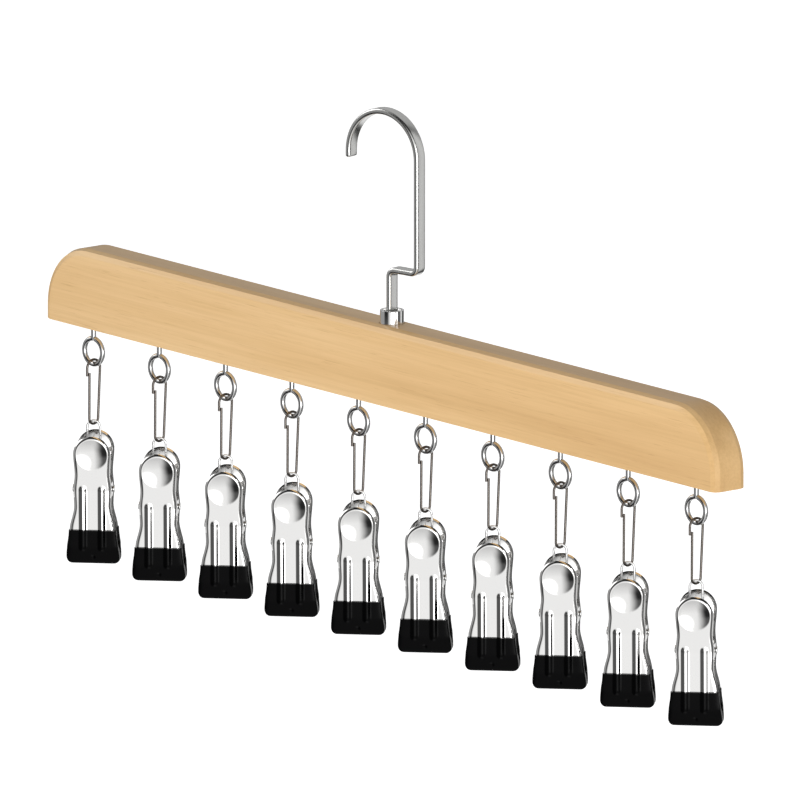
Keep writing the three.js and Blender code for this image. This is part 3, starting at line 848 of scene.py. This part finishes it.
def make_metal(name, colour, roughness, bump, stretch=(1, 1, 1), scale=1.0):
    """A bare or plated metal with faint wear in its gloss."""
    metal, shader = new_material(name, Metallic=1.0, Base_Color=(*colour, 1))
    marks = stretched_noise(metal, stretch, scale)
    roughen(metal, shader, marks, *roughness)
    bumped(metal, shader, marks, bump, distance=0.0001)
    return metal


def make_satin():
    """The hook's steel, brushed along its length."""
    return make_metal("satin_steel", (0.8, 0.8, 0.785), roughness=(0.18, 0.3), bump=0.02,
                      stretch=(700, 700, 30))


def make_chrome():
    """The polished plating of the ferrule and the clips."""
    return make_metal("polished_chrome", (0.9, 0.895, 0.885), roughness=(0.04, 0.12), bump=0.01, scale=160)


def make_wire_metal(name, colour, roughness):
    """Drawn wire with fine marks."""
    return make_metal(name, colour, roughness, bump=0.03, scale=500)


def make_vinyl():
    """Glossy black dipped vinyl with a faintly uneven skin."""
    vinyl, shader = new_material("black_vinyl", Base_Color=(0.001, 0.001, 0.0011, 1), Specular_IOR_Level=0.06)
    skin = stretched_noise(vinyl, scale=420, detail=3)
    roughen(vinyl, shader, skin, low=0.14, high=0.26)
    bumped(vinyl, shader, skin, strength=0.08, distance=0.0003)
    return vinyl


def set_on(pattern, name, place, body, material, node=None):
    """A copy of a shaped piece in its place on a body of the frame, with its own mesh."""
    mesh = pattern.data.copy()
    mesh.transform(place @ Matrix.Scale(MM, 4))
    mesh.materials.clear()
    mesh.materials.append(material)
    piece = bpy.data.objects.new(name, mesh)
    bpy.context.scene.collection.objects.link(piece)
    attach(piece, body)
    if node:
        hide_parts(node)


def turned(degrees):
    """A turn about the vertical."""
    return Matrix.Rotation(math.radians(degrees), 4, "Z")


def dress_bar(wood, satin, chrome, wire):
    """The bar, the hook and the ferrule. The swivel's collar, which is out of sight, only gets its metal."""
    here = Matrix.Identity(4)
    bar_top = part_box("bar")[1].z / MM
    bar = make_bar()
    hook = make_hook(bar_top)
    ferrule = make_ferrule()
    set_on(bar, "wooden_bar", here, "bar", wood, "bar")
    set_on(hook, "hook_strip", turned(HOOK_TURN), "hook", satin, "hook")
    set_on(ferrule, "ferrule_cup", here, "bar", chrome, "ferrule")
    frame["nodes"]["swivel_collar"].data.materials.clear()
    frame["nodes"]["swivel_collar"].data.materials.append(wire)
    for pattern in (bar, hook, ferrule):
        bpy.data.objects.remove(pattern)


def dress_links(wire, dark_wire):
    """The screw eyes under the bar, and the link that hangs in each."""
    ring_middle = EYE_RING_RADIUS * MM
    bar_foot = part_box("bar")[0].z
    thread_top = (bar_foot - joint_places["link_swing_01"].z - ring_middle) / MM + EYE_THREAD
    eye = make_screw_eye(thread_top)
    link = make_link()
    for number in numbers:
        ring = joint_places[f"link_swing_{number}"] + Vector((0, 0, ring_middle))
        ring_place = Matrix.Translation(ring) @ turned(EYE_TURN)
        link_place = Matrix.Translation(joint_places[f"clip_sway_{number}"])
        node = f"link_{number}"
        set_on(eye, f"eye_wire_{number}", ring_place, "bar", wire, f"screw_eye_{number}")
        set_on(link, f"link_wire_{number}", link_place, node, dark_wire, node)
    for pattern in (eye, link):
        bpy.data.objects.remove(pattern)


def dress_clips(chrome, spring_wire, vinyl):
    """The clips: a spring, two plates with dipped tips, and the pin between them."""
    loop = make_loop()
    arm = make_arm()
    front_plate = make_plate(FRONT_EAR)
    rear_plate = make_plate(REAR_EAR)
    pin = make_pin()
    tip = make_tip()
    for number in numbers:
        along = -joint_axes[f"clip_open_{number}"]
        facing = Matrix.Rotation(math.atan2(along.y, along.x), 4, "Z")
        front = Matrix.Translation(joint_places[f"clip_open_{number}"]) @ facing
        rear = front @ Matrix.Rotation(math.pi, 4, "Z")
        front_body = f"front_half_{number}"
        rear_body = f"rear_half_{number}"
        set_on(loop, f"spring_loop_{number}", front, f"hanger_loop_{number}", spring_wire,
               f"clip_spring_{number}")
        set_on(arm, f"front_arm_{number}", front, front_body, spring_wire)
        set_on(arm, f"rear_arm_{number}", rear, rear_body, spring_wire)
        set_on(front_plate, f"front_plate_{number}", front, front_body, chrome,
               f"clip_front_{number}")
        set_on(rear_plate, f"rear_plate_{number}", rear, rear_body, chrome,
               f"clip_rear_{number}")
        set_on(pin, f"pivot_pin_{number}", front, rear_body, chrome)
        set_on(tip, f"front_tip_{number}", front, front_body, vinyl)
        set_on(tip, f"rear_tip_{number}", rear, rear_body, vinyl)
    for pattern in (loop, arm, front_plate, rear_plate, pin, tip):
        bpy.data.objects.remove(pattern)


def direction(azimuth, elevation):
    """The direction from the object towards a viewer there."""
    turn = math.radians(azimuth)
    rise = math.radians(elevation)
    return Vector((math.sin(turn) * math.cos(rise), -math.cos(turn) * math.cos(rise), math.sin(rise)))


def make_camera():
    """A far camera with a long lens, because the photograph shows next to no perspective."""
    back = direction(VIEW_AZIMUTH, VIEW_ELEVATION)
    right = direction(VIEW_AZIMUTH + 90, 0)
    up = back.cross(right)
    middle = VIEW_PIXELS / 2
    aside = (middle - VIEW_SWIVEL_PIXEL[0]) / VIEW_PIXELS_PER_MM * MM
    below = (middle - VIEW_SWIVEL_PIXEL[1]) / VIEW_PIXELS_PER_MM * MM
    target = swivel + right * aside - up * below
    distance = VIEW_PIXELS / VIEW_PIXELS_PER_MM * MM * VIEW_LENS / VIEW_SENSOR
    data = bpy.data.cameras.new("camera")
    data.lens = VIEW_LENS
    data.sensor_width = VIEW_SENSOR
    camera = bpy.data.objects.new("camera", data)
    camera.location = target + back * distance
    camera.rotation_euler = (-back).to_track_quat("-Z", "Y").to_euler()
    bpy.context.scene.collection.objects.link(camera)
    bpy.context.scene.camera = camera


def make_floor():
    """A white sheet below the hanger, which metal doesn't reflect."""
    place = (0, 0, cad_box[0].z - FLOOR_DROP)
    floor = start(bpy.ops.mesh.primitive_plane_add, size=FLOOR_SIZE, location=place)
    floor.name = "floor"
    paper, _ = new_material("white_paper", Base_Color=(0.4, 0.4, 0.4, 1), Roughness=0.9,
                            Emission_Color=(*WHITE, 1), Emission_Strength=0.9)
    floor.data.materials.append(paper)
    floor.visible_glossy = False


def make_light(name, azimuth, elevation, distance, size, power, colour=WHITE):
    """A round lamp that faces the swivel, which metal doesn't reflect."""
    data = bpy.data.lights.new(name, "AREA")
    data.color = colour
    data.shape = "DISK"
    data.size = size
    data.energy = power
    light = bpy.data.objects.new(name, data)
    toward = direction(azimuth, elevation)
    light.location = swivel + toward * distance
    light.rotation_euler = toward.to_track_quat("Z", "Y").to_euler()
    light.visible_glossy = False
    bpy.context.scene.collection.objects.link(light)


def worked(world, operation, *values):
    """The outcome of a sum on values or on other nodes' outputs."""
    return add_node(world, "ShaderNodeMath", enumerate(values), operation=operation).outputs["Value"]


def soft_step(world, angle, at, soft, before, after):
    """One value before an angle and another after it, with a soft change between them."""
    limits = {"From Min": at - soft, "From Max": at + soft, "To Min": before, "To Max": after}
    step = add_node(world, "ShaderNodeMapRange", {"Value": angle, **limits}, interpolation_type="SMOOTHSTEP")
    return step.outputs["Result"]


def soft_band(world, angle, low, high, soft):
    """1 between two angles and 0 beyond them, with soft edges."""
    rise = soft_step(world, angle, low, soft, before=0.0, after=1.0)
    fall = soft_step(world, angle, high, soft, before=1.0, after=0.0)
    return worked(world, "MULTIPLY", rise, fall)


def make_studio():
    """A dim room with a round key light and pale panels, as the metal in the photograph reflects it."""
    world = bpy.data.worlds.new("studio")
    bpy.context.scene.world = world
    world.use_nodes = True
    toward = add_node(world, "ShaderNodeTexCoord").outputs["Generated"]
    gradient = add_node(world, "ShaderNodeTexGradient", {"Vector": toward}, gradient_type="RADIAL")
    azimuth = between(world, gradient.outputs["Fac"], AZIMUTH_START, AZIMUTH_START + 360)
    upward = add_node(world, "ShaderNodeSeparateXYZ", {"Vector": toward}).outputs["Z"]
    elevation = worked(world, "DEGREES", worked(world, "ARCSINE", upward))
    key_place = direction(*KEY_PLACE)
    nearness = add_node(world, "ShaderNodeVectorMath", {0: toward, 1: key_place}, operation="DOT_PRODUCT")
    away = worked(world, "DEGREES", worked(world, "ARCCOSINE", nearness.outputs["Value"]))
    key = soft_band(world, away, -KEY_RADIUS, KEY_RADIUS, KEY_SOFTNESS)
    brightness = worked(world, "MULTIPLY_ADD", key, KEY_BRIGHTNESS, ROOM_BRIGHTNESS)
    for azimuths, elevations, soft, panel_brightness in STUDIO_PANELS.values():
        wide = soft_band(world, azimuth, *azimuths, soft)
        high = soft_band(world, elevation, *elevations, soft)
        panel = worked(world, "MULTIPLY", worked(world, "MULTIPLY", wide, high), panel_brightness)
        brightness = worked(world, "ADD", brightness, panel)
    seen = add_node(world, "ShaderNodeLightPath").outputs["Is Camera Ray"]
    shown = worked(world, "MAXIMUM", brightness, seen)
    background = world.node_tree.nodes["Background"]
    background.inputs["Color"].default_value = (*WHITE, 1)
    join_nodes(world, shown, background.inputs["Strength"])


def main():
    """Dresses the hanger and sets up its view."""
    bpy.context.scene.view_settings.view_transform = "Standard"
    chrome = make_chrome()
    wire = make_wire_metal("bright_wire", (0.72, 0.72, 0.72), roughness=(0.1, 0.22))
    dark_wire = make_wire_metal("dark_wire", (0.17, 0.15, 0.135), roughness=(0.2, 0.34))
    spring_wire = make_wire_metal("spring_wire", (0.95, 0.95, 0.95), roughness=(0.3, 0.45))
    dress_bar(make_wood(), make_satin(), chrome, wire)
    dress_links(wire, dark_wire)
    dress_clips(chrome, spring_wire, make_vinyl())
    make_floor()
    make_studio()
    make_light("front_light", azimuth=34, elevation=17, distance=1.6, size=1.2, power=11.7,
               colour=(1, 0.99, 0.97))
    make_light("back_light", azimuth=205, elevation=16, distance=2, size=1.4, power=9)
    make_camera()


main()
